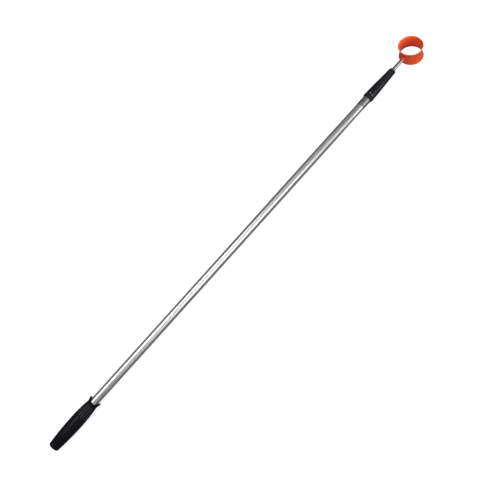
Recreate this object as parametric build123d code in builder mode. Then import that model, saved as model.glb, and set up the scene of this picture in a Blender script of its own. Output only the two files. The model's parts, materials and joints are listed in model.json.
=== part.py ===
from build123d import *

import os
from math import cos, radians, sin

# Telescopic retriever pole with a flared ring head, closed for carrying.
#
# The pole's axis is the X axis: the butt of the grip lies at X = 0 and the ring head at the far end.
# Five round aluminium sections nest inside each other. Each inner section ends, at the bottom, in a
# journal plug that carries a split friction bush, so it can slide in the section round it and also turn.
# Millimetres throughout.

# ---------------------------------------------------------------- driving dimensions
SLIDING_GAP = 0.05  # radial, friction bush in the tube round it, and journal in its bush
MOUTH_GAP = 0.10  # radial, a tube in the mouth of the section round it
ASSEMBLY_GAP = 0.02  # radial, between pieces fixed to each other

TUBE_RADII = [9.0, 7.6, 6.4, 5.2, 4.0]  # outside radius of sections 1 to 5
TUBE_WALLS = [0.8, 0.7, 0.7, 0.7, 1.0]
MOUTH_DROP = [0.5, 0.4, 0.4, 0.4]  # how far the swaged end closes in, sections 1 to 4
TAPER_LENGTH = 90.0  # the swaged end closes in over this length

GRIP_LENGTH = 131.6
GRIP_FLOOR = 6.0  # thickness of the closed butt
FRONT_ROLL = 29.0  # the grip's front faces this far from +Z, towards -Y

# Ends of the ferrules along the pole: each one rests against the one before it.
FERRULE_STARTS = [935.0, 942.2, 948.6, 955.5]
FERRULE_ENDS = [942.0, 948.4, 955.3, 962.5]
FERRULE_RADIUS = 8.9
FERRULE_CHAMFER = 0.45
MOUTH_BUSH_LENGTH = 2.0
STAKE_COUNT = 3  # crimp dimples round a ferrule
STAKE_RADIUS = 1.6
STAKE_ROLL = 44.0  # first dimple's place round the outer ferrule; each ferrule turns a further step
STAKE_STEP = 40.0
STAKE_DEPTH = 0.25

PLUG_START = 24.0  # bottom of the first journal plug
PLUG_PITCH = 30.0  # each deeper section starts this much further along
FLANGE = 2.0
BUSH_LENGTH = 10.0
SPIGOT_LENGTH = 12.0
JOURNAL_DROP = [1.9, 1.5, 1.4, 1.3]  # bush wall thickness, sections 2 to 5
SPLIT_WIDTH = 1.4
DRAIN_RADIUS = 1.4

CONE_START = 958.3
CONE_LENGTH = 79.7
CONE_WIDE_RADIUS = 11.0
CONE_BAND = 26.0  # round length at the wide end, before the facets begin
CONE_BAND_RADIUS = 10.1  # at the end of the round length
CONE_NOSE_APOTHEM = 6.6  # half the width across the flats at the narrow end
CONE_SOCKET_DEPTH = 5.0
CONE_ROLL = 13.5  # one flat of the narrow end faces this far from +Z, towards -Y
PIN_X = 1029.0
PIN_RADIUS = 1.2
PIN_REACH = 5.4  # either side of the axis, so the pin stays buried in the cone

RING_X = 1091.8  # centre of the ring's waist, on the pole's axis
RING_TILT = 14.2  # the ring's axis leans this far from +Z, towards the tip
UPPER_RADIUS = 26.6  # outside radius at the upper rim
LOWER_RADIUS = 25.9
UPPER_REACH = 14.5  # from the waist to the upper rim
LOWER_REACH = 16.6
WAIST_OUTSIDE = 23.6
WAIST_INSIDE = 21.2  # holds a ball of 21.35 radius by a light squeeze
WAIST_LAND = 4.0  # length of the straight wall at the waist
RIM_WALL = 1.9  # wall thickness at either rim
PAD_START = RING_X - 28.5  # face that the tip tube butts against
STEM_LENGTH = 40.0  # the ring's stem inside the tip tube

os.makedirs("parts", exist_ok=True)


def save(part, name):
    """Labels a finished piece and writes it as its own node."""
    part.label = name
    export_step(part, f"parts/{name}.step")


def turned(points):
    """A solid turned about the pole's axis from an outline of (x, radius) points."""
    with BuildPart() as solid:
        with BuildSketch(Plane.XY):
            with BuildLine():
                Polyline(*points, close=True)
            make_face()
        revolve(axis=Axis.X)
    return solid.part


# ---------------------------------------------------------------- grip
BARREL_POINTS = [(4.5, 11.4), (38.0, 13.9), (80.0, 14.6), (104.0, 13.3), (119.0, 11.6)]
BUTT_FLAT_RADIUS = 7.5
LIP_RADIUS = 13.4
LIP_CREST = 127.6  # where the rolled lip is widest, along X
LIP_MOUTH_RADIUS = 11.2
LIP_CLIP = 8.0  # the lip is cut back by this much at the front and back, which leaves an ear at each side
EAR_WIDTH = 13.0
EAR_ROUNDING = 4.0
RIB_COUNT = 16
RIB_WIDTH = 2.3
LOWER_RIBS = (7.0, 33.0)  # ribbed stretches of the grip, along X
UPPER_RIBS = (85.0, 119.0)
LOWER_FLUTE = 0.5  # depth of the flutes between the ribs
UPPER_FLUTE = 0.9

bore_radius = TUBE_RADII[0] + ASSEMBLY_GAP

with BuildPart() as barrel:
    with BuildSketch(Plane.XY):
        with BuildLine():
            Polyline((0, 0), (0, BUTT_FLAT_RADIUS))
            ThreePointArc((0, BUTT_FLAT_RADIUS), (1.3, 10.2), BARREL_POINTS[0])
            Spline(*BARREL_POINTS)
            ThreePointArc(BARREL_POINTS[-1], (124.2, 12.1), (LIP_CREST, LIP_RADIUS))
            ThreePointArc((LIP_CREST, LIP_RADIUS), (130.2, 13.3), (GRIP_LENGTH, LIP_MOUTH_RADIUS))
            ThreePointArc((GRIP_LENGTH, LIP_MOUTH_RADIUS), (127.0, 9.6), (122.0, bore_radius))
            Polyline((122.0, bore_radius), (GRIP_FLOOR, bore_radius), (GRIP_FLOOR, 0), (0, 0))
        make_face()
    revolve(axis=Axis.X)

with BuildPart() as flutes:
    # A collar of stock over each ribbed stretch, less the ribs left standing in it.
    for (low, high), depth in ((LOWER_RIBS, LOWER_FLUTE), (UPPER_RIBS, UPPER_FLUTE)):
        inside = [(x, r - depth) for x, r in BARREL_POINTS]
        with BuildSketch(Plane.XY) as collar:
            with BuildLine():
                floor_curve = Spline(*inside)
                Polyline(floor_curve @ 1, (inside[-1][0], 20), (inside[0][0], 20), floor_curve @ 0)
            make_face()
            with Locations(((low + high) / 2, 12)):
                Rectangle(high - low, 24, mode=Mode.INTERSECT)
        revolve(axis=Axis.X)
    for rib in range(RIB_COUNT // 2):
        roll = FRONT_ROLL + rib * 360 / RIB_COUNT
        with Locations(Location((GRIP_LENGTH / 2, 0, 0), (roll, 0, 0))):
            Box(GRIP_LENGTH, RIB_WIDTH, 50, mode=Mode.SUBTRACT)

with BuildPart() as lip_keep:
    # Everything of the grip that stays once the lip is cut back to its two ears.
    with BuildSketch(Plane.XZ) as keep_outline:
        with Locations(((GRIP_LENGTH - LIP_CLIP) / 2, 0)):
            Rectangle(GRIP_LENGTH - LIP_CLIP, 40)
        with Locations((GRIP_LENGTH / 2, 0)):
            Rectangle(GRIP_LENGTH + 1, EAR_WIDTH)
        inner_corners = keep_outline.vertices().filter_by_position(
            Axis.X, GRIP_LENGTH - LIP_CLIP - 0.1, GRIP_LENGTH - LIP_CLIP + 0.1
        )
        fillet([v for v in inner_corners if abs(v.Z) < EAR_WIDTH], EAR_ROUNDING)
    extrude(amount=20, both=True)

with BuildPart() as grip:
    add(barrel.part)
    add(flutes.part, mode=Mode.SUBTRACT)
    add(lip_keep.part.rotate(Axis.X, FRONT_ROLL), mode=Mode.INTERSECT)
save(grip.part, "grip")

# ---------------------------------------------------------------- tubes
tube_starts = [GRIP_FLOOR + FLANGE] + [
    PLUG_START + n * PLUG_PITCH + 2 * FLANGE + BUSH_LENGTH for n in range(4)
]
tube_names = ["outer_tube", "tube_2", "tube_3", "tube_4"]

for n, name in enumerate(tube_names):
    outside = TUBE_RADII[n]
    inside = outside - TUBE_WALLS[n]
    drop = MOUTH_DROP[n]
    mouth = FERRULE_ENDS[n] - MOUTH_BUSH_LENGTH
    taper_end = FERRULE_STARTS[n]
    taper_start = taper_end - TAPER_LENGTH
    tube = turned(
        [
            (tube_starts[n], outside),
            (taper_start, outside),
            (taper_end, outside - drop),
            (mouth, outside - drop),
            (mouth, inside - drop),
            (taper_end, inside - drop),
            (taper_start, inside),
            (tube_starts[n], inside),
        ]
    )
    save(tube, name)

with BuildPart() as tip_tube:
    with BuildSketch(Plane.YZ.offset(tube_starts[4])):
        Circle(TUBE_RADII[4])
        Circle(TUBE_RADII[4] - TUBE_WALLS[4], mode=Mode.SUBTRACT)
    extrude(amount=PAD_START - tube_starts[4])
    with Locations(Location((PIN_X, 0, 0), (90, 0, 0))):
        Hole(PIN_RADIUS + ASSEMBLY_GAP)
save(tip_tube.part, "tip_tube")

# ---------------------------------------------------------------- butt plug
PLUG_SKIRT = 1.5  # wall of the cup-shaped plug
plug_radius = TUBE_RADII[0] - TUBE_WALLS[0] - ASSEMBLY_GAP
butt_plug = turned(
    [
        (GRIP_FLOOR, 0),
        (GRIP_FLOOR, TUBE_RADII[0] - 0.1),
        (GRIP_FLOOR + FLANGE, TUBE_RADII[0] - 0.1),
        (GRIP_FLOOR + FLANGE, plug_radius),
        (GRIP_FLOOR + SPIGOT_LENGTH, plug_radius),
        (GRIP_FLOOR + SPIGOT_LENGTH, plug_radius - PLUG_SKIRT),
        (GRIP_FLOOR + FLANGE, plug_radius - PLUG_SKIRT),
        (GRIP_FLOOR + FLANGE, 0),
    ]
)
save(butt_plug, "butt_plug")

# ---------------------------------------------------------------- journal plugs and friction bushes
for n in range(4):
    section = n + 2
    start = PLUG_START + n * PLUG_PITCH
    bore = TUBE_RADII[n] - TUBE_WALLS[n]  # of the tube round this section
    bush_radius = bore - SLIDING_GAP
    journal = bush_radius - JOURNAL_DROP[n]
    shoulder = min(TUBE_RADII[n + 1] + 0.15, bore - 0.3)
    spigot = TUBE_RADII[n + 1] - TUBE_WALLS[n + 1] - ASSEMBLY_GAP
    bush_start = start + FLANGE
    bush_end = bush_start + BUSH_LENGTH
    plug = turned(
        [
            (start, DRAIN_RADIUS),
            (start, shoulder),
            (bush_start, shoulder),
            (bush_start, journal),
            (bush_end, journal),
            (bush_end, shoulder),
            (bush_end + FLANGE, shoulder),
            (bush_end + FLANGE, spigot),
            (bush_end + FLANGE + SPIGOT_LENGTH, spigot),
            (bush_end + FLANGE + SPIGOT_LENGTH, DRAIN_RADIUS),
        ]
    )
    save(plug, f"journal_plug_{section}")

    with BuildPart() as bush:
        with BuildSketch(Plane.YZ.offset(bush_start + 0.1)):
            Circle(bush_radius)
            Circle(journal + SLIDING_GAP, mode=Mode.SUBTRACT)
            with Locations((0, bush_radius)):
                Rectangle(SPLIT_WIDTH, 2 * bush_radius, mode=Mode.SUBTRACT)
        extrude(amount=BUSH_LENGTH - 0.2)
        rims = bush.edges().filter_by(GeomType.CIRCLE).sort_by(SortBy.RADIUS)[-2:]
        chamfer(rims, 0.3)
    save(bush.part, f"friction_bush_{section}")

# ---------------------------------------------------------------- ferrules and mouth bushes
ferrule_names = ["outer_ferrule", "ferrule_2", "ferrule_3", "ferrule_4"]
mouth_bush_names = ["outer_mouth_bush", "mouth_bush_2", "mouth_bush_3", "mouth_bush_4"]

for n in range(4):
    start = FERRULE_STARTS[n]
    end = FERRULE_ENDS[n]
    seat = TUBE_RADII[n] - MOUTH_DROP[n] + ASSEMBLY_GAP
    edge = min(FERRULE_CHAMFER, (FERRULE_RADIUS - seat) * 0.8)
    with BuildPart() as ferrule:
        with BuildSketch(Plane.YZ.offset(start)):
            Circle(FERRULE_RADIUS)
            Circle(seat, mode=Mode.SUBTRACT)
        extrude(amount=end - start)
        rims = ferrule.edges().filter_by(GeomType.CIRCLE).sort_by(SortBy.RADIUS)[-2:]
        chamfer(rims, edge)
        for stake in range(STAKE_COUNT):
            roll = STAKE_ROLL + n * STAKE_STEP + stake * 360 / STAKE_COUNT
            stake_centre = FERRULE_RADIUS + STAKE_RADIUS - STAKE_DEPTH
            centre = Vector(0, 0, stake_centre).rotate(Axis.X, roll)
            with Locations((start + (FERRULE_ENDS[0] - FERRULE_STARTS[0]) / 2, centre.Y, centre.Z)):
                Sphere(STAKE_RADIUS, mode=Mode.SUBTRACT)
    save(ferrule.part, ferrule_names[n])

    bush_outside = TUBE_RADII[n] - MOUTH_DROP[n]
    bush_inside = TUBE_RADII[n + 1] + MOUTH_GAP
    with BuildPart() as mouth_bush:
        with BuildSketch(Plane.YZ.offset(end - MOUTH_BUSH_LENGTH)):
            Circle(bush_outside)
            Circle(bush_inside, mode=Mode.SUBTRACT)
        extrude(amount=MOUTH_BUSH_LENGTH)
    save(mouth_bush.part, mouth_bush_names[n])

# ---------------------------------------------------------------- nose cone
cone_end = CONE_START + CONE_LENGTH
CORE_RADIUS = 6.8
CORE_END = 1000.0

nose_envelope = turned(
    [
        (CONE_START, 0),
        (CONE_START, CONE_WIDE_RADIUS - 0.6),
        (CONE_START + 0.6, CONE_WIDE_RADIUS),
        (cone_end - 3.0, CONE_NOSE_APOTHEM + 0.7),
        (cone_end - 0.9, CONE_NOSE_APOTHEM - 0.3),
        (cone_end, CONE_NOSE_APOTHEM - 1.6),
        (cone_end, 0),
    ]
)

with BuildPart() as cone_outside:
    with BuildSketch(Plane.YZ.offset(CONE_START)):
        Circle(CONE_WIDE_RADIUS)
    with BuildSketch(Plane.YZ.offset(CONE_START + CONE_BAND)):
        Circle(CONE_BAND_RADIUS)
    loft()
    with BuildSketch(Plane.YZ.offset(CONE_START + CONE_BAND)):
        Circle(CONE_BAND_RADIUS)
    with BuildSketch(Plane.YZ.offset(cone_end)):
        # A corner points up as drawn, so a flat faces 30 degrees from +Z until the cone is turned.
        RegularPolygon(CONE_NOSE_APOTHEM, 6, major_radius=False, rotation=30)
        fillet(vertices(), 1.6)
    loft()
    add(nose_envelope, mode=Mode.INTERSECT)

with BuildPart() as nose_cone:
    add(cone_outside.part.rotate(Axis.X, CONE_ROLL - 30))
    with BuildSketch(Plane.YZ.offset(CONE_START)):
        Circle(FERRULE_RADIUS + 0.3)
    extrude(amount=CONE_SOCKET_DEPTH, mode=Mode.SUBTRACT)
    with BuildSketch(Plane.YZ.offset(CONE_START)):
        Circle(CORE_RADIUS)
    extrude(amount=CORE_END - CONE_START, mode=Mode.SUBTRACT)
    with BuildSketch(Plane.YZ.offset(CONE_START)):
        Circle(TUBE_RADII[4] + ASSEMBLY_GAP)
    extrude(amount=CONE_LENGTH, mode=Mode.SUBTRACT)
    # The cone is moulded round the cross pin, which locks it to the tip tube.
    with Locations(Location((PIN_X, 0, 0), (90, 0, 0))):
        Cylinder(PIN_RADIUS + ASSEMBLY_GAP, 2 * (PIN_REACH + ASSEMBLY_GAP), mode=Mode.SUBTRACT)
save(nose_cone.part, "nose_cone")

with BuildPart() as head_pin:
    with Locations(Location((PIN_X, 0, 0), (90, 0, 0))):
        Cylinder(PIN_RADIUS, 2 * PIN_REACH)
save(head_pin.part, "head_pin")

# ---------------------------------------------------------------- ring head
tilt = radians(RING_TILT)
ring_centre = Vector(RING_X, 0, 0)
ring_axis = Vector(sin(tilt), 0, cos(tilt))
ring_out = Vector(cos(tilt), 0, -sin(tilt))  # across the ring, towards the tip
section_plane = Plane(origin=ring_centre, x_dir=ring_out, z_dir=(0, -1, 0))
waist_plane = Plane(origin=ring_centre, x_dir=ring_out, z_dir=ring_axis)
upper_mouth = UPPER_RADIUS - RIM_WALL
lower_mouth = LOWER_RADIUS - RIM_WALL

RIM_EDGE = 0.5  # rounding of both edges of each rim
RIB_THICKNESS = 2.2
SHELF_TOP = -3.2  # level of the shelf on the ring's own axis
SHELF_THICKNESS = 3.0
SHELF_SPREAD = 37.0  # degrees round the waist that each wing of the shelf reaches
PAD_RADIUS = 4.9
STEM_RADIUS = TUBE_RADII[4] - TUBE_WALLS[4] - ASSEMBLY_GAP

with BuildPart() as ring_void:
    # The ball's passage: a straight land at the waist, flaring to both mouths.
    with BuildSketch(section_plane):
        with BuildLine():
            flare_up = TangentArc((WAIST_INSIDE, WAIST_LAND / 2), (upper_mouth, UPPER_REACH), tangent=(0, 1))
            flare_down = TangentArc(
                (WAIST_INSIDE, -WAIST_LAND / 2), (lower_mouth, -LOWER_REACH), tangent=(0, -1)
            )
            Line(flare_up @ 0, flare_down @ 0)
            Polyline(
                flare_up @ 1,
                (upper_mouth, UPPER_REACH + 1),
                (0, UPPER_REACH + 1),
                (0, -LOWER_REACH - 1),
                (lower_mouth, -LOWER_REACH - 1),
                flare_down @ 1,
            )
        make_face()
    revolve(axis=Axis(ring_centre, ring_axis))

with BuildPart() as ring_head:
    with BuildSketch(section_plane):
        with BuildLine():
            upper_side = TangentArc((WAIST_OUTSIDE, 0), (UPPER_RADIUS, UPPER_REACH), tangent=(0, 1))
            lower_side = TangentArc((WAIST_OUTSIDE, 0), (LOWER_RADIUS, -LOWER_REACH), tangent=(0, -1))
            Polyline(upper_side @ 1, (0, UPPER_REACH), (0, -LOWER_REACH), lower_side @ 1)
        make_face()
    revolve(axis=Axis(ring_centre, ring_axis))
    # Centre rib from rim to rim.
    with BuildSketch(section_plane):
        Polygon(
            (-22.0, -13.6), (-24.7, -14.4), (-26.6, -9.5), (-27.6, -3.5), (-25.4, 13.4), (-22.0, 13.4),
            align=None,
        )
    extrude(amount=RIB_THICKNESS / 2, both=True)
    # Shelf with a wing either side, running out along the waist.
    with BuildSketch(waist_plane.offset(SHELF_TOP - SHELF_THICKNESS)):
        wing = radians(SHELF_SPREAD)
        reach = WAIST_OUTSIDE + 0.2
        tip_x = -reach * cos(wing)
        tip_y = reach * sin(wing)
        Polygon((-27.8, -3.6), (-27.8, 3.6), (tip_x, tip_y), (-15, 0), (tip_x, -tip_y), align=None)
    extrude(amount=SHELF_THICKNESS)
    # Round pad that the tip tube butts against, with the stem that goes inside it.
    with BuildSketch(Plane.YZ.offset(PAD_START)):
        Circle(PAD_RADIUS)
    extrude(amount=10)
    with BuildSketch(Plane.YZ.offset(PAD_START - STEM_LENGTH)):
        Circle(STEM_RADIUS)
    extrude(amount=STEM_LENGTH + 2)
    add(ring_void.part, mode=Mode.SUBTRACT)
    with Locations(Location((PIN_X, 0, 0), (90, 0, 0))):
        Cylinder(PIN_RADIUS + ASSEMBLY_GAP, 20, mode=Mode.SUBTRACT)
    rim_edges = [
        e
        for e in ring_head.edges().filter_by(GeomType.CIRCLE)
        if e.radius > lower_mouth - 0.01 and abs((e.arc_center - ring_centre).dot(ring_axis)) > UPPER_REACH - 0.1
    ]
    fillet(rim_edges, RIM_EDGE)
save(ring_head.part, "ring_head")
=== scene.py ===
"""Looks for the telescopic retriever pole: mesh work, finishes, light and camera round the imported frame."""

import json
import math

import bmesh
import bpy
from mathutils import Matrix, Vector


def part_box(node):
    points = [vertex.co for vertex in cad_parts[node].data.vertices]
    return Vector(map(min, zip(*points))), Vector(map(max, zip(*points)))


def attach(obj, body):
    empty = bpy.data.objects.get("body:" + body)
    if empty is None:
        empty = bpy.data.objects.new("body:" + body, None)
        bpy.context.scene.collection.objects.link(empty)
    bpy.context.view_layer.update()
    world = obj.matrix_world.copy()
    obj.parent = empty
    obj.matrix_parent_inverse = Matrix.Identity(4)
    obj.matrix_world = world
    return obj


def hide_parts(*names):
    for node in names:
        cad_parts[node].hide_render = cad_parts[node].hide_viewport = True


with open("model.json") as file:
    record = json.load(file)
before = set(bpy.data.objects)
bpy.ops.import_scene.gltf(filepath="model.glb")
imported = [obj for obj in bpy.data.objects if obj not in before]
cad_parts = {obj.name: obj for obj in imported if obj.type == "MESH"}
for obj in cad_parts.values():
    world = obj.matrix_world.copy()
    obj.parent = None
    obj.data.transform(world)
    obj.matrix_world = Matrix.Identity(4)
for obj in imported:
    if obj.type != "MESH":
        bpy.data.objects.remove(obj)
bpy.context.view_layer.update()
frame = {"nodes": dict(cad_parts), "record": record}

MM = 0.001
FRONT_ROLL = math.radians(29.0)  # the grip's front faces this far from +Z, towards -Y
WAIST = next(mount for mount in frame["record"]["mounts"] if mount["name"] == "ring_waist")

# Ribs round the grip, in two zones. Each zone has a start, an end and a depth, in millimetres.
RIBS = 16
LOWER_RIBS = (7.0, 33.0, 0.5)
UPPER_RIBS = (85.0, 119.0, 0.9)

# The finishes' own sizes, in metres.
CREST_HIGHLIGHT_ENDS = (1 * MM, 2 * MM)  # the upper ribs' crests carry a painted highlight but for this much at the start and end
FERRULE_RIM_HIGHLIGHT = (-0.2 * MM, 2.8 * MM)  # painted highlight round the outer ferrule's rim, from the ferrule's start
RIM_HIGHLIGHT_BAND = (12.7 * MM, 13.6 * MM)  # the ring is painted paler between these heights over its waist: a painted highlight along the upper rim
# How far the painted shade in the ring's corners and recesses reaches.
SHADE_REACH = 7 * MM
BLACK_SHEEN = (1.0, 0.88, 1.08, 1.0)  # the black mouldings shine slightly purple

nodes = frame["nodes"]
scene = bpy.context.scene


# ---------------------------------------------------------------- shader helpers
class Finish:
    """A material with one Principled shader, and short calls for the nodes that feed it."""

    def __init__(self, name, color, roughness, metallic=0.0):
        self.material = bpy.data.materials.new(name)
        self.material.use_nodes = True
        self.tree = self.material.node_tree
        self.shader = self.tree.nodes["Principled BSDF"]
        self.coordinates = self.tree.nodes.new("ShaderNodeTexCoord").outputs["Object"]
        self.set(Metallic=metallic, Roughness=roughness)
        self.shader.inputs["Base Color"].default_value = (*color, 1.0)

    def set(self, **values):
        """Sets the shader's own sockets, with _ for each space in a name."""
        for name, value in values.items():
            self.shader.inputs[name.replace("_", " ")].default_value = value

    def link(self, source, socket):
        self.tree.links.new(source, socket)

    def noise(self, stretch, detail=3.0, rough=0.55, distortion=0.0):
        """Noise with its own scale, per metre, along each axis."""
        mapping = self.tree.nodes.new("ShaderNodeMapping")
        mapping.inputs["Scale"].default_value = stretch
        self.link(self.coordinates, mapping.inputs["Vector"])
        noise = self.tree.nodes.new("ShaderNodeTexNoise")
        noise.inputs["Scale"].default_value = 1.0
        noise.inputs["Detail"].default_value = detail
        noise.inputs["Roughness"].default_value = rough
        noise.inputs["Distortion"].default_value = distortion
        self.link(mapping.outputs["Vector"], noise.inputs["Vector"])
        return noise.outputs["Fac"]

    def ramp(self, source, stops):
        """A colour ramp through (place, colour) stops."""
        node = self.tree.nodes.new("ShaderNodeValToRGB")
        elements = node.color_ramp.elements
        while len(elements) < len(stops):
            elements.new(0.5)
        for element, (place, color) in zip(elements, stops):
            element.position = place
            element.color = (*color, 1.0)
        self.link(source, node.inputs["Fac"])
        return node.outputs["Color"]

    def spread(self, source, low, high, start=0.3, end=0.7):
        """The source's range from start to end, mapped to low and high."""
        node = self.tree.nodes.new("ShaderNodeMapRange")
        for name, value in (("From Min", start), ("From Max", end), ("To Min", low), ("To Max", high)):
            node.inputs[name].default_value = value
        self.link(source, node.inputs["Value"])
        return node.outputs["Result"]

    def sum(self, first, second, weight):
        """First plus weight times second."""
        node = self.tree.nodes.new("ShaderNodeMath")
        node.operation = "MULTIPLY_ADD"
        node.inputs[1].default_value = weight
        self.link(second, node.inputs[0])
        self.link(first, node.inputs[2])
        return node.outputs[0]

    def math(self, operation, first, second):
        """One sum on two values, each a socket or a number."""
        node = self.tree.nodes.new("ShaderNodeMath")
        node.operation = operation
        for value, socket in zip((first, second), node.inputs):
            if isinstance(value, (int, float)):
                socket.default_value = value
            else:
                self.link(value, socket)
        return node.outputs[0]

    def place(self):
        """The X, Y and Z of each point, in metres."""
        node = self.tree.nodes.new("ShaderNodeSeparateXYZ")
        self.link(self.coordinates, node.inputs["Vector"])
        return node.outputs["X"], node.outputs["Y"], node.outputs["Z"]

    def height(self, origin, axis):
        """How far each point lies from an origin, along an axis."""
        node = self.tree.nodes.new("ShaderNodeVectorMath")
        node.operation = "DOT_PRODUCT"
        node.inputs[1].default_value = axis
        self.link(self.coordinates, node.inputs[0])
        return self.math("SUBTRACT", node.outputs["Value"], Vector(origin).dot(Vector(axis)))

    def openness(self, distance):
        """1 on open surfaces, less in corners and crevices."""
        node = self.tree.nodes.new("ShaderNodeAmbientOcclusion")
        node.samples = 8
        node.inputs["Distance"].default_value = distance
        return node.outputs["AO"]

    def window(self, x, low, high, fade):
        """1 between low and high, and 0 outside, fading over a short length."""
        rise = self.spread(x, 0, 1, low, low + fade)
        return self.math("MULTIPLY", rise, self.spread(x, 1, 0, high - fade, high))

    def mix(self, share, first, second):
        """First where the share is 0, second where it is 1; both are colours."""
        node = self.tree.nodes.new("ShaderNodeMix")
        node.data_type = "RGBA"
        self.link(share, node.inputs["Factor"])
        for color, socket in zip((first, second), node.inputs[6:8]):
            if isinstance(color, tuple):
                socket.default_value = (*color, 1.0)
            else:
                self.link(color, socket)
        return node.outputs[2]

    def bump(self, height, distance, strength):
        """Small relief, as deep as the distance in metres."""
        node = self.tree.nodes.new("ShaderNodeBump")
        node.inputs["Strength"].default_value = strength
        node.inputs["Distance"].default_value = distance
        self.link(height, node.inputs["Height"])
        self.link(node.outputs["Normal"], self.shader.inputs["Normal"])


def shade(grey, warm=-0.04):
    """A grey, slightly red where warm is over 0, and slightly blue under it."""
    return (grey * (1 + warm), grey, grey * (1 - warm))


# ---------------------------------------------------------------- finishes
def grip_rubber():
    """Black rubber: a glossier plain belt, painted a little paler as a sheen, between duller ribs whose upper
    crests are painted pale as a highlight.
    """
    finish = Finish("grip_rubber", shade(0.004), 0.36)
    blotch = finish.noise((60, 90, 90), detail=4)
    grain = finish.noise((2600, 2600, 2600), detail=2, rough=0.6)
    x, y, z = finish.place()
    belt = finish.window(x, LOWER_RIBS[1] * MM, UPPER_RIBS[0] * MM, 1 * MM)
    # The upper ribs' crests are painted pale: a painted highlight, as of the light they catch.
    ribbed = finish.window(x, UPPER_RIBS[0] * MM + CREST_HIGHLIGHT_ENDS[0], UPPER_RIBS[1] * MM - CREST_HIGHLIGHT_ENDS[1], 2 * MM)
    roll = finish.math("ARCTAN2", finish.math("MULTIPLY", y, -1), z)
    turn = finish.math("SUBTRACT", roll, FRONT_ROLL)
    wave = finish.math("COSINE", finish.math("MULTIPLY", turn, RIBS), 0)
    crest_highlight = finish.math("MULTIPLY", finish.spread(wave, 0, 1, 0.6, 0.95), ribbed)
    tones = [(0.3, shade(0.002, -0.1)), (0.55, shade(0.003, -0.1)), (0.75, shade(0.005, -0.1))]
    color = finish.ramp(blotch, tones)
    # The plain belt is painted a little paler than the ribs: a painted sheen.
    color = finish.mix(belt, color, shade(0.007, -0.06))
    color = finish.mix(crest_highlight, color, shade(0.08, -0.02))
    finish.link(color, finish.shader.inputs["Base Color"])
    rough = finish.sum(finish.spread(blotch, 0.44, 0.52), grain, 0.08)
    rough = finish.sum(rough, belt, -0.19)
    rough = finish.sum(rough, crest_highlight, -0.1)
    finish.link(rough, finish.shader.inputs["Roughness"])
    finish.bump(finish.sum(grain, blotch, 0.6), 0.02 * MM, 0.3)
    finish.set(Specular_IOR_Level=0.2)
    finish.shader.inputs["Specular Tint"].default_value = BLACK_SHEEN
    return finish.material


def drawn_aluminium(name, grey, rough):
    """Anodised tube, with fine lines drawn along it and a few rubbed patches."""
    warm = 0.01
    finish = Finish(name, shade(grey, warm), rough, metallic=1.0)
    lines = finish.noise((6, 2400, 2400), detail=3, rough=0.6)
    wear_and_highlight = finish.noise((14, 120, 120), detail=5, rough=0.6, distortion=0.4)
    tones = [(0.3, shade(grey * 0.95, warm)), (0.5, shade(grey, warm)), (0.72, shade(grey * 1.04, warm))]
    finish.link(finish.ramp(wear_and_highlight, tones), finish.shader.inputs["Base Color"])
    roughness = finish.sum(finish.spread(wear_and_highlight, rough - 0.04, rough + 0.04), lines, 0.05)
    finish.link(roughness, finish.shader.inputs["Roughness"])
    finish.bump(lines, 0.003 * MM, 0.12)
    return finish.material


def turned_metal(name, grey):
    """Turned metal, with fine rings left by the lathe, and a painted highlight round the outer ferrule's rim.
    """
    finish = Finish(name, shade(grey, 0.0), 0.28, metallic=1.0)
    rings = finish.noise((5200, 8, 8), detail=2)
    stain = finish.noise((160, 160, 160), detail=4)
    tones = [(0.3, shade(grey * 0.82, 0.0)), (0.52, shade(grey, 0.0)), (0.74, shade(grey * 1.15, 0.0))]
    x, _, _ = finish.place()
    # A bright band round the outer ferrule's rim: a painted highlight.
    low, high = (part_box("outer_ferrule")[0].x + reach for reach in FERRULE_RIM_HIGHLIGHT)
    painted_rim_highlight = finish.window(x, low, high, 0.4 * MM)
    color = finish.mix(painted_rim_highlight, finish.ramp(stain, tones), shade(0.85, 0.0))
    finish.link(color, finish.shader.inputs["Base Color"])
    finish.link(finish.sum(finish.spread(stain, 0.22, 0.36), rings, 0.08), finish.shader.inputs["Roughness"])
    finish.bump(rings, 0.008 * MM, 0.25)
    return finish.material


def moulded_plastic(name, grey, rough, warm=0.0, specular=0.5):
    """Plain moulded plastic with a fine spark-eroded grain."""
    finish = Finish(name, shade(grey, warm), rough)
    finish.set(Specular_IOR_Level=specular)
    if grey < 0.1:
        finish.shader.inputs["Specular Tint"].default_value = BLACK_SHEEN
    flow = finish.noise((50, 130, 130), detail=3, distortion=0.5)
    grain = finish.noise((3400, 3400, 3400), detail=2, rough=0.65)
    color = finish.ramp(flow, [(0.3, shade(grey * 0.8, warm)), (0.7, shade(grey * 1.25, warm))])
    finish.link(color, finish.shader.inputs["Base Color"])
    roughness = finish.sum(finish.spread(flow, rough - 0.05, rough + 0.05), grain, 0.08)
    finish.link(roughness, finish.shader.inputs["Roughness"])
    finish.bump(grain, 0.015 * MM, 0.25)
    return finish.material


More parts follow.
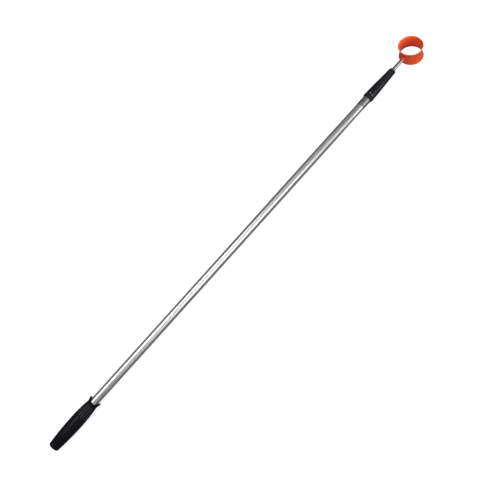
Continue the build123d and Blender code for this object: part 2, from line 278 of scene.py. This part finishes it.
def orange_plastic():
    """Glossy orange moulding: a paler rim as a painted highlight, painted shade in its crevices, faint flow
    marks and scratches.
    """
    finish = Finish("orange_plastic", (0.81, 0.085, 0.016), 0.25)
    flow = finish.noise((90, 90, 60), detail=3, distortion=0.8)
    scratches = finish.noise((2400, 300, 2400), detail=2, rough=0.7)
    # A paler band under the upper rim: a painted highlight.
    wear_and_highlight = finish.spread(finish.height(WAIST["pos_m"], WAIST["axis"]), 0, 1, *RIM_HIGHLIGHT_BAND)
    # Painted shade: ambient occlusion darkens the colour in corners and recesses.
    recess_shade = finish.spread(finish.openness(SHADE_REACH), 1, 0, 0.3, 0.75)
    tones = [(0.28, (0.86, 0.092, 0.02)), (0.5, (0.9, 0.1, 0.024)), (0.74, (0.93, 0.11, 0.03))]
    color = finish.mix(recess_shade, finish.ramp(flow, tones), (0.35, 0.012, 0.004))
    color = finish.mix(wear_and_highlight, color, (1.0, 0.2, 0.05))
    finish.link(color, finish.shader.inputs["Base Color"])
    finish.link(finish.sum(finish.spread(flow, 0.2, 0.3), scratches, 0.06), finish.shader.inputs["Roughness"])
    finish.set(Subsurface_Weight=0.12, Subsurface_Scale=1.2 * MM, Coat_Weight=0.25, Coat_Roughness=0.12)
    finish.shader.inputs["Subsurface Radius"].default_value = (1.0, 0.35, 0.15)
    finish.bump(finish.sum(flow, scratches, 0.04), 0.02 * MM, 0.15)
    return finish.material


def pale_print():
    """Worn pale ink."""
    finish = Finish("pale_print", shade(0.4), 0.5)
    wear = finish.noise((900, 900, 900), detail=3)
    color = finish.ramp(wear, [(0.35, shade(0.28)), (0.6, shade(0.45))])
    finish.link(color, finish.shader.inputs["Base Color"])
    finish.link(finish.spread(wear, 0.45, 0.6), finish.shader.inputs["Roughness"])
    finish.bump(wear, 0.02 * MM, 0.3)
    return finish.material


def pale_floor():
    """A pale floor that glows a little, so that it stays white round the pole."""
    finish = Finish("pale_floor", shade(0.9), 0.85)
    mottle = finish.noise((3, 3, 3), detail=4)
    color = finish.ramp(mottle, [(0.3, shade(0.9)), (0.7, shade(0.93))])
    finish.link(color, finish.shader.inputs["Base Color"])
    finish.link(color, finish.shader.inputs["Emission Color"])
    finish.set(Emission_Strength=0.8)
    return finish.material


MATERIALS = {
    "grip_rubber": grip_rubber(),
    "anodised_tube": drawn_aluminium("anodised_tube", 0.76, 0.3),
    "tip_tube": drawn_aluminium("tip_tube", 0.38, 0.32),
    "ferrule": turned_metal("turned_aluminium", 0.36),
    "nylon": moulded_plastic("black_nylon", 0.04, 0.42),
    "bush": moulded_plastic("natural_acetal", 0.62, 0.38, warm=0.03),
    "cone": moulded_plastic("cone_plastic", 0.006, 0.34, warm=-0.06, specular=0.3),
    "pin": turned_metal("pin_steel", 0.5),
    "orange": orange_plastic(),
}


def dress_cad_nodes():
    """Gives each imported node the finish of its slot."""
    for subpart in frame["record"]["subparts"]:
        node = nodes[subpart["node"]]
        node.data.materials.clear()
        node.data.materials.append(MATERIALS[subpart["material_slot"]])


# ---------------------------------------------------------------- mesh helpers
def face_outwards(bm):
    """Turns the faces of a closed mesh outwards."""
    bmesh.ops.recalc_face_normals(bm, faces=bm.faces)
    if bm.calc_volume(signed=True) < 0:
        bmesh.ops.reverse_faces(bm, faces=bm.faces)


def new_piece(name, bm, slot_name, material=None):
    """Turns a bmesh into a smooth-shaded piece, with its slot's finish unless a material is given."""
    face_outwards(bm)
    mesh = bpy.data.meshes.new(name)
    bm.to_mesh(mesh)
    bm.free()
    mesh.materials.append(material or MATERIALS[slot_name])
    mesh.shade_smooth()
    piece = bpy.data.objects.new(name, mesh)
    scene.collection.objects.link(piece)
    return piece


def around(x, radius, angle):
    """A point by its distance along the pole and its radius, in millimetres, and its angle from the front."""
    roll = angle + FRONT_ROLL
    return Vector((x, -radius * math.sin(roll), radius * math.cos(roll))) * MM


def skin(sections, count, place, closed=False):
    """Skin round the pole, where place(section, angle) gives each point.

    A closed skin joins its last section to its first; any other has both ends fanned shut.
    """
    bm = bmesh.new()
    rings = []
    for section in sections:
        rings.append([bm.verts.new(place(section, 2 * math.pi * n / count)) for n in range(count)])
    pairs = list(zip(rings, rings[1:]))
    if closed:
        pairs.append((rings[-1], rings[0]))
    for low, high in pairs:
        for n in range(count):
            bm.faces.new((low[n], low[(n + 1) % count], high[(n + 1) % count], high[n]))
    for ring in () if closed else (rings[0], rings[-1]):
        centre = bm.verts.new(sum((v.co for v in ring), Vector()) / count)
        for n in range(count):
            bm.faces.new((ring[n], ring[(n + 1) % count], centre))
    return bm


def steps(low, high, pitch):
    """Even places from low to high, about a pitch apart."""
    count = max(1, round((high - low) / pitch))
    return [low + (high - low) * n / count for n in range(count + 1)]


def arc(start, middle, end, count):
    """Points on the circle through three (x, radius) points, without the first."""
    (ax, ay), (bx, by), (cx, cy) = start, middle, end
    d = 2 * (ax * (by - cy) + bx * (cy - ay) + cx * (ay - by))
    a2, b2, c2 = ax**2 + ay**2, bx**2 + by**2, cx**2 + cy**2
    ux = (a2 * (by - cy) + b2 * (cy - ay) + c2 * (ay - by)) / d
    uy = (a2 * (cx - bx) + b2 * (ax - cx) + c2 * (bx - ax)) / d
    radius = math.hypot(ax - ux, ay - uy)
    first, mid, last = (math.atan2(y - uy, x - ux) for x, y in (start, middle, end))
    turn = (last - first) % (2 * math.pi)
    if (mid - first) % (2 * math.pi) > turn:
        turn -= 2 * math.pi
    angles = [first + turn * n / count for n in range(1, count + 1)]
    return [(ux + radius * math.cos(t), uy + radius * math.sin(t)) for t in angles]


def prism(outline, low, high, place, edge):
    """A flat outline thickened from low to high, with rounded edges, then placed by a matrix."""
    bm = bmesh.new()
    rings = [[bm.verts.new((x, y, z)) for x, y in outline] for z in (low, high)]
    count = len(outline)
    for n in range(count):
        bm.faces.new((rings[0][n], rings[0][(n + 1) % count], rings[1][(n + 1) % count], rings[1][n]))
    for ring in rings:
        bm.faces.new(ring)
    bmesh.ops.recalc_face_normals(bm, faces=bm.faces)
    bmesh.ops.bevel(bm, geom=bm.edges, offset=edge, segments=4, affect="EDGES", profile=0.5)
    bmesh.ops.transform(bm, matrix=place @ Matrix.Scale(MM, 4), verts=bm.verts)
    return bm


def smooth_by_angle(piece, limit=35):
    """Smooth shading, but for edges sharper than the limit."""
    piece.data.shade_smooth()
    bm = bmesh.new()
    bm.from_mesh(piece.data)
    for edge in bm.edges:
        edge.smooth = len(edge.link_faces) == 2 and edge.calc_face_angle() < math.radians(limit)
    bm.to_mesh(piece.data)
    bm.free()


def smooth(value, low, high):
    """0 below low, 1 above high, and an even S between."""
    t = min(max((value - low) / (high - low), 0.0), 1.0)
    return t * t * (3 - 2 * t)


def through(points, x):
    """Radius at x on a smooth curve through (x, radius) points."""
    for (x0, r0), (x1, r1) in zip(points, points[1:]):
        if x <= x1:
            break
    n = points.index((x0, r0))
    before = points[n - 1] if n else (2 * x0 - x1, 2 * r0 - r1)
    after = points[n + 2] if n + 2 < len(points) else (2 * x1 - x0, 2 * r1 - r0)
    slope0 = (r1 - before[1]) / (x1 - before[0]) * (x1 - x0)
    slope1 = (after[1] - r0) / (after[0] - x0) * (x1 - x0)
    t = (x - x0) / (x1 - x0)
    return (
        r0 * (2 * t**3 - 3 * t**2 + 1)
        + slope0 * (t**3 - 2 * t**2 + t)
        + r1 * (3 * t**2 - 2 * t**3)
        + slope1 * (t**3 - t**2)
    )


# ---------------------------------------------------------------- grip
# Along the pole from the butt, and radius, both in millimetres.
BARREL = [(4.5, 11.4), (38.0, 13.9), (80.0, 14.6), (104.0, 13.3), (119.0, 11.6)]
NECK, NECK_RADIUS = BARREL[-1]
LIP_CREST = (127.6, 13.4)
LIP_MOUTH_RADIUS = 11.2
LIP_CLIP = 8.0  # how far the lip is cut down at the front and back
GRIP_BORE = 9.03
GRIP_FLOOR = 8.0


def flute(x, angle):
    """How far the surface lies under the plain barrel, in the flutes between the ribs."""
    valley = smooth(0.5 - 0.5 * math.cos(RIBS * angle), 0.22, 0.62)
    start, end, depth = LOWER_RIBS
    lower = depth * smooth(x, start, start + 5) * (1 - smooth(x, end - 0.8, end))
    start, end, depth = UPPER_RIBS
    upper = depth * smooth(x, start, start + 1.0) * (1 - smooth(x, end - 5, end))
    return valley * (lower + upper)


def make_grip():
    """A barrel with two ribbed zones, a groove round its butt face, and a flared lip with two ears."""
    low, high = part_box("grip")
    length = (high.x - low.x) / MM
    face = [(0.0, r) for r in (1.5, 3.0, 4.2)] + [(0.35, 4.6), (0.35, 5.6), (0.0, 6.0), (0.0, 7.5)]
    corner = arc((0.0, 7.5), (1.3, 10.2), BARREL[0], 8)
    barrel = [(x, through(BARREL, x)) for x in steps(BARREL[0][0], NECK, 0.5)[1:]]
    flare = arc(BARREL[-1], (124.2, 12.1), LIP_CREST, 12)
    bead = arc(LIP_CREST, (130.2, 13.3), (length, LIP_MOUTH_RADIUS), 12)
    trumpet = arc((length, LIP_MOUTH_RADIUS), (127.0, 9.6), (122.0, GRIP_BORE), 12)
    tunnel = [(118.0, GRIP_BORE), (GRIP_FLOOR, GRIP_BORE)]
    sections = face + corner + barrel + flare + bead + trumpet + tunnel

    def place(section, angle):
        x, radius = section
        if x > NECK:
            # The lip is cut down to a saddle: low at the front and back, an ear at each side.
            clip = length - LIP_CLIP * smooth(abs(math.cos(angle)), 0.25, 0.8)
            share = (clip - NECK) / (length - NECK)
            x = NECK + (x - NECK) * share
            if radius > NECK_RADIUS:
                radius = NECK_RADIUS + (radius - NECK_RADIUS) * share**1.5
        elif radius > GRIP_BORE + 0.5:
            radius -= flute(x, angle)
        return around(x, radius, angle)

    grip = new_piece("grip_skin", skin(sections, 288, place), "grip_rubber")
    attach(grip, "handle")
    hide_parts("grip")


# ---------------------------------------------------------------- tubes
# Each section's tube, ferrule and body, its tube wall, and how far the tube's mouth closes in.
SECTIONS = [
    ("outer_tube", "outer_ferrule", "handle", 0.8, 0.5),
    ("tube_2", "ferrule_2", "section_2", 0.7, 0.4),
    ("tube_3", "ferrule_3", "section_3", 0.7, 0.4),
    ("tube_4", "ferrule_4", "section_4", 0.7, 0.4),
]
TAPER_LENGTH = 90.0  # the mouth closes in over this length
TUBE_CHAMFER = 0.15


def half_width(name):
    """Half of a node's width across the pole."""
    low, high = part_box(name)
    return (high.y - low.y) / 2 / MM


def make_tubes():
    """Drawn tubes whose swaged ends close in smoothly under their ferrules."""
    for name, ferrule, body, wall, drop in SECTIONS:
        low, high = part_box(name)
        start, mouth = low.x / MM, high.x / MM
        outside = half_width(name)
        taper_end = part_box(ferrule)[0].x / MM
        taper_start = taper_end - TAPER_LENGTH
        swage = [(x, drop * (x - taper_start) / TAPER_LENGTH) for x in steps(taper_start, taper_end, 5.0)]
        plain = [(x, 0.0) for x in steps(start + 0.3, taper_start, 60.0)[:-1]]
        end = [(mouth - 0.2, drop), (mouth, drop + TUBE_CHAMFER)]
        shape = [(start, TUBE_CHAMFER)] + plain + swage + end
        sections = [(x, outside - fall) for x, fall in shape]
        sections += [(x, outside - wall - min(fall, drop)) for x, fall in reversed(shape)]
        bm = skin(sections, 160, lambda section, angle: around(*section, angle), closed=True)
        tube = new_piece(name + "_skin", bm, "anodised_tube")
        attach(tube, body)
        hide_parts(name)


# ---------------------------------------------------------------- ferrules
STAKES = 3  # crimp dimples round a ferrule
STAKE_ROLL = 44.0  # degrees to the outer ferrule's first dimple; each ferrule turns a further step
STAKE_STEP = 40.0
STAKE_RADIUS = 1.0
STAKE_DEPTH = 0.3
STAKE_PLACE = 3.5  # from the ferrule's start
FERRULE_EDGE = 0.45  # largest rounding of the rims
SEAT_GAP = 0.02
SEAT_CHAMFER = 0.1


def make_ferrules():
    """Turned collars with rounded rims and three crimp dimples each."""
    for number, (tube, name, body, _, drop) in enumerate(SECTIONS):
        low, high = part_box(name)
        start, end = low.x / MM, high.x / MM
        radius = (high.z - low.z) / 2 / MM
        seat = half_width(tube) - drop + SEAT_GAP
        edge = min(FERRULE_EDGE, (radius - seat) * 0.8)
        stake_x = start + STAKE_PLACE
        first = STAKE_ROLL + number * STAKE_STEP
        rolls = [math.radians(first + 360 / STAKES * n) for n in range(STAKES)]
        quarter = steps(0.0, math.pi / 2, 0.4)
        rounding = [(edge * (1 - math.sin(t)), radius - edge * (1 - math.cos(t))) for t in quarter]
        shape = [(start + inset, r) for inset, r in reversed(rounding)]
        shape += [(x, radius) for x in steps(start + edge, end - edge, 0.15)[1:-1]]
        shape += [(end - inset, r) for inset, r in rounding]
        mouth = seat + SEAT_CHAMFER
        bore = [(end, mouth), (end - SEAT_CHAMFER, seat), (start + SEAT_CHAMFER, seat), (start, mouth)]

        def place(section, angle):
            x, r = section
            if r > radius - 0.01:
                roll = -(angle + FRONT_ROLL)
                for stake in rolls:
                    turn = (roll + stake + math.pi) % (2 * math.pi) - math.pi
                    away = math.hypot(x - stake_x, turn * radius) / STAKE_RADIUS
                    r -= STAKE_DEPTH * max(0.0, 1 - away**2)
            return around(x, r, angle)

        ferrule = new_piece(name + "_skin", skin(shape + bore, 320, place, closed=True), "ferrule")
        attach(ferrule, body)
        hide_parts(name)


# ---------------------------------------------------------------- nose cone
CONE_START, CONE_END = (corner.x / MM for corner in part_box("nose_cone"))
CONE_WIDE = half_width("nose_cone")
FACETS = 6
CORNER_SHARPNESS = 26
CONE_BAND = 26.0  # round length at the wide end
CONE_BAND_RADIUS = 10.1
CONE_FLAT = 6.6  # half the width across the flats at the nose
CONE_NOSE = 3.6  # the nose rounds over within this length
CONE_NOSE_ROUND = 2.4
CONE_GROOVE = (2.4, 3.3, 0.2)  # start, end and depth of the groove by the wide rim
CONE_SOCKET = (5.0, 9.2)  # length and radius
CONE_CORE = (41.7, 6.8)
CONE_BORE = 4.03
CONE_ROLL = math.radians(13.5)  # one flat of the narrow end faces this far from +Z, towards -Y


def cone_radius(share, angle):
    """Round at share 0, and a hexagon with soft corners at share 1."""
    pitch = 2 * math.pi / FACETS
    turn = angle + FRONT_ROLL - CONE_ROLL
    total = sum(max(0.0, math.cos(turn - n * pitch)) ** CORNER_SHARPNESS for n in range(FACETS))
    hexagon = CONE_FLAT * total ** (-1 / CORNER_SHARPNESS)
    return CONE_BAND_RADIUS + (hexagon - CONE_BAND_RADIUS) * share


def cone_surface(x, angle):
    """Radius of the cone's plain outside."""
    start, end, wide = CONE_START, CONE_END, CONE_WIDE
    if x < start + CONE_BAND:
        return wide + (CONE_BAND_RADIUS - wide) * (x - start) / CONE_BAND
    return cone_radius((x - start - CONE_BAND) / (end - start - CONE_BAND), angle)


def make_cone():
    """A round band with a groove by its rim, running into six facets with a rounded nose."""
    start, end = CONE_START, CONE_END
    groove_start, groove_end, groove_depth = CONE_GROOVE
    # How much is taken off the plain outside, from the wide rim to the nose.
    outside = [(start, 0.9), (start + 0.2, 0.35), (start + 0.7, 0.0), (start + groove_start, 0.0)]
    outside += [(start + x, groove_depth) for x in (groove_start + 0.2, groove_end - 0.2)]
    outside += [(x, 0.0) for x in steps(start + groove_end, start + CONE_BAND, 1.5)]
    outside += [(x, 0.0) for x in steps(start + CONE_BAND, end - CONE_NOSE, 0.8)[1:]]
    for t in steps(0.0, math.pi / 2, 0.16)[1:]:
        outside.append((end - CONE_NOSE * (1 - math.sin(t)), CONE_NOSE_ROUND * (1 - math.cos(t))))

    socket_end, socket = start + CONE_SOCKET[0], CONE_SOCKET[1]
    core_end, core = start + CONE_CORE[0], CONE_CORE[1]
    lead = 0.4
    inside = [(end, CONE_BORE + lead), (end - lead, CONE_BORE), (core_end, CONE_BORE), (core_end, core)]
    inside += [(socket_end, core), (socket_end, socket), (start + lead, socket), (start, socket + lead)]
    sections = [(x, off, True) for x, off in outside] + [(x, radius, False) for x, radius in inside]

    def place(section, angle):
        x, amount, on_outside = section
        radius = cone_surface(x, angle) - amount if on_outside else amount
        return around(x, radius, angle)

    cone = new_piece("nose_cone_skin", skin(sections, 192, place, closed=True), "cone")
    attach(cone, "head")
    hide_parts("nose_cone")


# Plain pale strokes printed on the cone's front, a chevron and two bars. Each stroke's ends are given
# by their distance from the wide rim, and by their turn from the front in degrees.
PRINT_STROKES = [
    ((9.5, -23), (12.9, -17)),
    ((12.9, -17), (9.5, -11)),
    ((9.5, 12), (13.1, 12)),
    ((9.5, 19), (13.1, 19)),
]
PRINT_HALF_WIDTH = 0.35
PRINT_FLOOR, PRINT_TOP = -0.05, 0.03  # under and over the cone's surface
PRINT_STEPS = 4


def make_print():
    start, wide = CONE_START, CONE_WIDE
    bm = bmesh.new()
    for (near, near_turn), (far, far_turn) in PRINT_STROKES:
        length = far - near
        first = math.radians(near_turn)
        sweep = math.radians(far_turn) - first
        run = Vector((length, sweep * wide, 0)).normalized() * PRINT_HALF_WIDTH
        rows = []
        for step in range(PRINT_STEPS + 1):
            t = step / PRINT_STEPS
            corners = []
            for side, lifts in ((-1, (PRINT_FLOOR, PRINT_TOP)), (1, (PRINT_TOP, PRINT_FLOOR))):
                x = start + near + length * t - side * run.y
                angle = first + sweep * t + side * run.x / wide
                surface = cone_surface(x, angle)
                corners += [around(x, surface + lift, angle) for lift in lifts]
            rows.append([bm.verts.new(corner) for corner in corners])
        for low_row, high_row in zip(rows, rows[1:]):
            for k in range(4):
                bm.faces.new((low_row[k], low_row[(k + 1) % 4], high_row[(k + 1) % 4], high_row[k]))
        bm.faces.new(rows[0])
        bm.faces.new(rows[-1])
    marks = new_piece("cone_print", bm, "cone", pale_print())
    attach(marks, "head")


# ---------------------------------------------------------------- ring head
UPPER_RIM = (26.6, 14.5)  # outside radius, and height over the waist
LOWER_RIM = (25.9, 16.6)
WAIST_OUTSIDE = 23.6
WAIST_INSIDE = 21.2
HALF_LAND = 2.0  # the inside is straight for this much above and below the waist
RIM_WALL = 1.9
RIM_EDGE = 0.6

# The rib and the shelf stand on the pole's side of the ring, and both end inside its wall.
RIB_OUTLINE = [(-24.7, -14.4), (-26.6, -9.5), (-27.6, -3.5), (-25.4, 13.4)]  # out from the axis, and level
HALF_RIB = 1.1
SHELF = (-6.2, -3.2)  # its lower and upper level
SHELF_SPREAD = math.radians(37)
SHELF_NOSE = (-27.8, 3.6)  # out from the axis, and half its width
SMALL_EDGE = 0.3

PAD_RADIUS = 4.9
PAD_EDGE = 0.5
PAD_REACH = 28.5  # from the waist's centre to the pad's face
STEM_RADIUS = 2.98


def bowed(rise, reach, level):
    """How far an arc, upright at its start, has leaned out at a level, if it leans by rise at reach."""
    if level <= 0:
        return 0.0
    radius = (rise**2 + reach**2) / (2 * rise)
    return radius - math.sqrt(radius**2 - level**2)


def band_outside(level):
    radius, reach = UPPER_RIM if level > 0 else LOWER_RIM
    return WAIST_OUTSIDE + bowed(radius - WAIST_OUTSIDE, reach, abs(level))


def band_inside(level, spare=0.0):
    radius, reach = UPPER_RIM if level > 0 else LOWER_RIM
    mouth = radius - RIM_WALL
    return WAIST_INSIDE + spare + bowed(mouth - WAIST_INSIDE, reach - HALF_LAND, abs(level) - HALF_LAND)


def rim(top, edge):
    """Rounded edge of the band at one rim, from outside to inside."""
    sign = 1 if top > 0 else -1
    level = top - sign * edge
    middle = (band_outside(level) + band_inside(level)) / 2
    half = (band_outside(level) - band_inside(level)) / 2
    turns = steps(0.0, math.pi, math.pi / 10)
    return [(middle + half * math.cos(t), level + sign * edge * math.sin(t)) for t in turns]


def within_wall(level):
    """Radius of the middle of the band's wall."""
    return (band_outside(level) + band_inside(level)) / 2


def band_sections():
    """The band's wall, round from its outside to its inside."""
    top, bottom = UPPER_RIM[1], -LOWER_RIM[1]
    levels = steps(bottom + RIM_EDGE, top - RIM_EDGE, 0.7)[1:-1]
    outside = [(band_outside(level), level) for level in levels] + rim(top, RIM_EDGE)
    inside = [(band_inside(level), level) for level in reversed(levels)] + rim(bottom, RIM_EDGE)[::-1]
    return outside + inside


def rib_outline():
    bottom, top = RIB_OUTLINE[0][1], RIB_OUTLINE[-1][1]
    return RIB_OUTLINE + [(-within_wall(level), level) for level in steps(top, bottom, 2.0)]


def shelf_outline():
    reach = WAIST_OUTSIDE + 0.2
    tip = (-reach * math.cos(SHELF_SPREAD), reach * math.sin(SHELF_SPREAD))
    nose, half_nose = SHELF_NOSE
    middle = within_wall(sum(SHELF) / 2)
    turns = steps(SHELF_SPREAD, -SHELF_SPREAD, 0.1)
    outline = [(tip[0], -tip[1]), (nose, -half_nose), (nose, half_nose), tip]
    return outline + [(-middle * math.cos(turn), middle * math.sin(turn)) for turn in turns]


def make_ring():
    """The flared band, its rib and shelf, and the pad and stem that join it to the pole."""
    axis = Vector(WAIST["axis"])
    out = Vector((0, 1, 0)).cross(axis).normalized()
    to_pole = Matrix((out, (0, 1, 0), axis)).transposed().to_4x4()
    to_pole.translation = Vector(WAIST["pos_m"])
    rib_frame = to_pole @ Matrix(((1, 0, 0), (0, 0, -1), (0, 1, 0))).to_4x4()

    def place(section, angle):
        radius, level = section
        return to_pole @ (Vector((radius * math.cos(angle), radius * math.sin(angle), level)) * MM)

    stem_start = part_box("ring_head")[0].x / MM
    centre_x = WAIST["pos_m"][0] / MM
    pad_start = centre_x - PAD_REACH
    stem = [(stem_start, 2.6), (stem_start + 0.4, STEM_RADIUS), (pad_start + 2, STEM_RADIUS)]
    # The pad's last section has no x of its own: it follows the band's curved wall.
    pad = [(pad_start, PAD_RADIUS - PAD_EDGE), (pad_start + 0.15, PAD_RADIUS - 0.15)]
    pad += [(pad_start + PAD_EDGE, PAD_RADIUS), (None, PAD_RADIUS)]

    def place_bar(section, angle):
        x, radius = section
        y, z = radius * math.cos(angle), radius * math.sin(angle)
        if x is None:
            level = z
            for _ in range(6):
                across = -math.sqrt(within_wall(level) ** 2 - y**2)
                level = (z - across * out.z) / axis.z
            x = centre_x + across * out.x + level * axis.x
        return Vector((x, y, z)) * MM

    parts = [
        skin(band_sections(), 256, place, closed=True),
        prism(rib_outline(), -HALF_RIB, HALF_RIB, rib_frame, SMALL_EDGE),
        prism(shelf_outline(), *SHELF, to_pole, SMALL_EDGE),
        skin(pad, 96, place_bar),
        skin(stem, 64, place_bar),
    ]
    bm = bmesh.new()
    for part in parts:
        face_outwards(part)
        shell = bpy.data.meshes.new("shell")
        part.to_mesh(shell)
        part.free()
        bm.from_mesh(shell)
        bpy.data.meshes.remove(shell)
    ring = new_piece("ring_head_skin", bm, "orange")
    smooth_by_angle(ring)
    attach(ring, "head")
    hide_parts("ring_head")


# ---------------------------------------------------------------- light and camera
POLE_ANGLE = math.radians(48.0)  # the pole's slope in the camera's view
CAMERA_ELEVATION = math.radians(61.1)
CAMERA_DISTANCE = 1.9536
CAMERA_AIM = 0.5705  # along the pole, from the butt
CAMERA_LENS = 71.8
FLOOR_WIDTH = 16.0

TO_CAMERA = Vector((0, -math.cos(CAMERA_ELEVATION), math.sin(CAMERA_ELEVATION)))
ACROSS = Vector((0, math.sin(CAMERA_ELEVATION), math.cos(CAMERA_ELEVATION)))  # square to both
ALONG = Vector((1, 0, 0))


def make_camera():
    right = math.cos(POLE_ANGLE) * ALONG - math.sin(POLE_ANGLE) * ACROSS
    up = math.sin(POLE_ANGLE) * ALONG + math.cos(POLE_ANGLE) * ACROSS
    camera = bpy.data.objects.new("camera", bpy.data.cameras.new("camera"))
    camera.data.lens = CAMERA_LENS
    camera.data.sensor_width = 36
    camera.data.clip_end = 50
    place = CAMERA_AIM * ALONG + CAMERA_DISTANCE * TO_CAMERA
    camera.matrix_world = Matrix.Translation(place) @ Matrix((right, up, TO_CAMERA)).transposed().to_4x4()
    scene.collection.objects.link(camera)
    scene.camera = camera


def softbox(name, target, direction, distance, size, power):
    """An area light that looks at a target on the pole; its size is along the pole, then across it."""
    light = bpy.data.lights.new(name, "AREA")
    light.shape = "RECTANGLE"
    light.size, light.size_y = size
    light.energy = power
    lamp = bpy.data.objects.new(name, light)
    direction = direction.normalized()
    side = direction.cross(ALONG).normalized()
    turn = Matrix((side.cross(direction), side, direction)).transposed().to_4x4()
    lamp.matrix_world = Matrix.Translation(target + direction * distance) @ turn
    scene.collection.objects.link(lamp)


def make_light():
    """A key and a fill along the pole, two small lights at the tip, and a dim white surround."""
    softbox("key", 0.05 * ALONG, 0.8 * TO_CAMERA + 0.6 * ACROSS, 2.2, (1.1, 1.4), 16)
    softbox("fill", 0.57 * ALONG, 0.88 * TO_CAMERA - 0.47 * ACROSS, 2.2, (0.85, 1.8), 12.5)
    softbox("tip_top", 1.09 * ALONG, Vector((0.72, -0.08, 0.7)), 0.6, (0.35, 0.35), 2.7)
    softbox("tip_side", 1.09 * ALONG, Vector((0.2, -0.93, 0.2)), 0.5, (0.3, 0.3), 1.1)
    world = bpy.data.worlds.new("studio")
    world.use_nodes = True
    surround = world.node_tree.nodes["Background"]
    surround.inputs["Color"].default_value = (1, 1, 1, 1)
    surround.inputs["Strength"].default_value = 0.16
    scene.world = world
    scene.view_settings.view_transform = "Standard"


def make_floor():
    """The pole lies on its grip and on the ring's lower rim, so the floor slopes a little between them."""
    grip_low, grip_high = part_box("grip")
    ring_low, ring_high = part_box("ring_head")
    grip_x = (grip_low.x + grip_high.x) / 2
    slope = (ring_low.z - grip_low.z) / (ring_high.x - grip_x)
    half = FLOOR_WIDTH / 2
    corners = [(-half, -half), (half, -half), (half, half), (-half, half)]
    bm = bmesh.new()
    bm.faces.new([bm.verts.new((x, y, grip_low.z + slope * (x - grip_x))) for x, y in corners])
    mesh = bpy.data.meshes.new("floor")
    bm.to_mesh(mesh)
    bm.free()
    mesh.materials.append(pale_floor())
    floor = bpy.data.objects.new("floor", mesh)
    scene.collection.objects.link(floor)
    floor.visible_glossy = False
    floor.visible_diffuse = False


# ---------------------------------------------------------------- assembly
make_camera()
make_light()
make_floor()
dress_cad_nodes()
make_grip()
make_tubes()
make_ferrules()
make_cone()
make_print()
make_ring()
